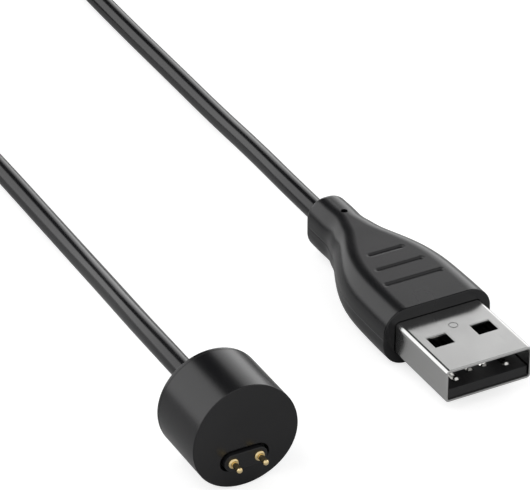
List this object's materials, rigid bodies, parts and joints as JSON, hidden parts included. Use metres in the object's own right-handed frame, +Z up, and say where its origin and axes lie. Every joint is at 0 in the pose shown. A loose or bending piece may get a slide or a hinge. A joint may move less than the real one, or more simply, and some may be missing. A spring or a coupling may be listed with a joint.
{
  "type": "magnetic charging cable",
  "caption": "Round magnetic charging dock with two sprung pins, on a thin black cord that ends in a moulded USB-A plug.",
  "frame": {"origin": "on the floor below the middle of the dock, which lies on its round side", "axes": "+Z up; -Y is the way the dock's hollow face and the plug look; +X runs from the dock to the plug"},
  "size_m": [0.048, 0.1729, 0.0136],
  "materials": {
    "dock_plastic": "black moulded plastic, satin, hollow face finely textured",
    "overmould_plastic": "black soft moulded plastic, satin",
    "block_plastic": "black moulded plastic, dull",
    "inner_plastic": "natural cloudy polyethylene",
    "cord_jacket": "black extruded jacket, satin",
    "tie_rubber": "black ribbed rubber",
    "crimp_brass": "plain brass, drawn",
    "yoke_steel": "cold-rolled steel, zinc plated",
    "board_laminate": "green solder mask on laminate",
    "solder": "reflowed tin solder",
    "pin_gold": "gold plated brass, polished",
    "spring_steel": "spring steel wire",
    "magnet_nickel": "nickel plated neodymium",
    "red_insulation": "red wire insulation",
    "black_insulation": "black wire insulation",
    "shell_nickel": "bright nickel plated steel sheet, satin",
    "contact_nickel": "tin-nickel plated copper alloy"
  },
  "bodies": {
    "cable": {"dock_housing": "dock_plastic", "dock_rear_cap": "dock_plastic", "contact_block": "block_plastic", "dock_cord_crimp": "crimp_brass", "magnet_yoke": "yoke_steel", "dock_circuit_board": "board_laminate", "dock_solder_joints": "solder", "pin_barrel_left": "pin_gold", "pin_barrel_right": "pin_gold", "pin_spring_left": "spring_steel", "pin_spring_right": "spring_steel", "magnet_left": "magnet_nickel", "magnet_right": "magnet_nickel", "dock_red_wire": "red_insulation", "dock_black_wire": "black_insulation", "cord_dock_run": "cord_jacket", "cord_coil": "cord_jacket", "cord_plug_run": "cord_jacket", "coil_tie": "tie_rubber", "plug_overmould": "overmould_plastic", "plug_inner_mould": "inner_plastic", "plug_shell": "shell_nickel", "plug_contact_carrier": "block_plastic", "plug_contact_power": "contact_nickel", "plug_contact_data_minus": "contact_nickel", "plug_contact_data_plus": "contact_nickel", "plug_contact_ground": "contact_nickel", "plug_solder_joints": "solder", "plug_red_wire": "red_insulation", "plug_black_wire": "black_insulation"},
    "left_plunger": {"pin_plunger_left": "pin_gold"},
    "right_plunger": {"pin_plunger_right": "pin_gold"}
  },
  "joints": [
    {"name": "left_plunger_slide", "type": "slide", "parent": "cable", "child": "left_plunger", "axis": [0, 1, 0], "range_m": [0, 0.0009], "stiffness_N_per_m": 600, "springref_m": -0.0004, "deforming": ["pin_spring_left"]},
    {"name": "right_plunger_slide", "type": "slide", "parent": "cable", "child": "right_plunger", "axis": [0, 1, 0], "range_m": [0, 0.0009], "stiffness_N_per_m": 600, "springref_m": -0.0004, "deforming": ["pin_spring_right"]}
  ]
}
